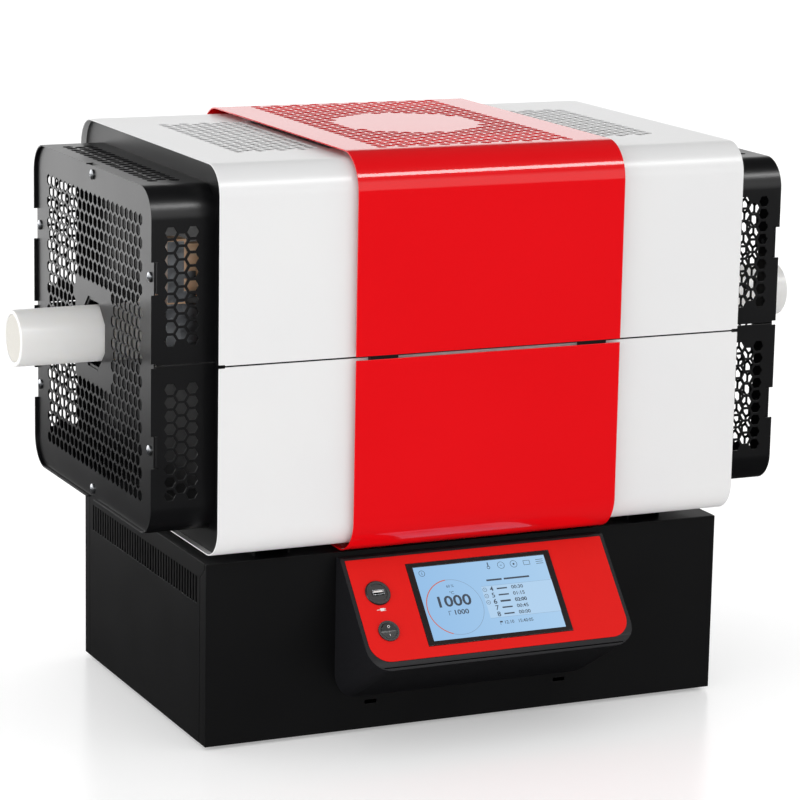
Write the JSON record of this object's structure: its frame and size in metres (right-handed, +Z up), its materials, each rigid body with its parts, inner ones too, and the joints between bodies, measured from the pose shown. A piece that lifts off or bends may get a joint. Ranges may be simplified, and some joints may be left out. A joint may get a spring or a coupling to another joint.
{
  "type": "tube furnace",
  "caption": "Bench-top horizontal tube furnace with perforated end guards, a loose ceramic work tube and a tilted touch-screen console.",
  "frame": {"origin": "middle of the whole outline seen from above, on the floor under the rubber feet", "axes": "+X along the work tube to the operator's right, +Y from the console to the back, +Z up"},
  "size_m": [0.92, 0.4928, 0.6235],
  "materials": {
    "black_metal": "fine-textured black powder coat",
    "white_metal": "satin white powder coat",
    "red_metal": "gloss red paint",
    "red_film": "satin red polyester film",
    "bezel_black": "dark gloss display border",
    "screen_blue": "lit touch screen, pale blue",
    "switch_black": "moulded black plastic",
    "rubber": "black rubber",
    "grey_steel": "bare galvanised steel sheet",
    "heat_sink": "extruded aluminium",
    "circuit_green": "green circuit board",
    "fibre": "white ceramic fibre",
    "former_ceramic": "cream sintered ceramic",
    "alumina": "white satin alumina",
    "wire": "oxidised heating alloy",
    "lead": "copper-coloured lead",
    "terminal_ceramic": "cream porcelain",
    "probe": "steel sheath",
    "screw_steel": "bright zinc plate"
  },
  "bodies": {
    "furnace": {"base_floor": "black_metal", "base_top_panel": "black_metal", "front_panel": "black_metal", "left_side_panel": "black_metal", "right_side_panel": "black_metal", "rear_panel": "black_metal", "rubber_feet": "rubber", "mains_inlet": "switch_black", "solid_state_relay": "heat_sink", "control_board": "circuit_green", "console_housing": "black_metal", "console_overlay": "red_film", "display_bezel": "bezel_black", "display_screen": "screen_blue", "usb_socket": "switch_black", "power_switch_body": "switch_black", "body_rails": "black_metal", "lower_shell": "white_metal", "upper_shell": "white_metal", "seam_strips": "black_metal", "lower_band": "red_metal", "upper_band": "red_metal", "band_seam_brackets": "black_metal", "band_spacers": "grey_steel", "left_end_wall": "black_metal", "right_end_wall": "black_metal", "lower_casing": "grey_steel", "upper_casing": "grey_steel", "casing_stands": "grey_steel", "lower_insulation": "fibre", "upper_insulation": "fibre", "element_former": "former_ceramic", "heating_coil": "wire", "element_leads": "lead", "left_tube_collar": "fibre", "right_tube_collar": "fibre", "thermocouple": "probe", "terminal_block": "terminal_ceramic", "left_upper_guard": "black_metal", "left_lower_guard": "black_metal", "left_end_plate": "black_metal", "left_backing_plate": "black_metal", "left_guard_screws": "screw_steel", "right_upper_guard": "black_metal", "right_lower_guard": "black_metal", "right_end_plate": "black_metal", "right_backing_plate": "black_metal", "right_guard_screws": "screw_steel"},
    "tube": {"work_tube": "alumina"},
    "left_plug": {"left_tube_plug": "fibre"},
    "right_plug": {"right_tube_plug": "fibre"},
    "rocker": {"power_switch_rocker": "switch_black"}
  },
  "joints": [
    {"name": "tube_slide", "type": "slide", "parent": "furnace", "child": "tube", "axis": [1, 0, 0], "range_m": [-0.105, 0.08]},
    {"name": "left_plug_slide", "type": "slide", "parent": "tube", "child": "left_plug", "axis": [-1, 0, 0], "range_m": [0, 0.09]},
    {"name": "right_plug_slide", "type": "slide", "parent": "tube", "child": "right_plug", "axis": [1, 0, 0], "range_m": [0, 0.09]},
    {"name": "rocker_hinge", "type": "hinge", "parent": "furnace", "child": "rocker", "pos_m": [-0.136, -0.21984, 0.13013], "axis": [1, 0, 0], "range_deg": [-20, 0]}
  ]
}
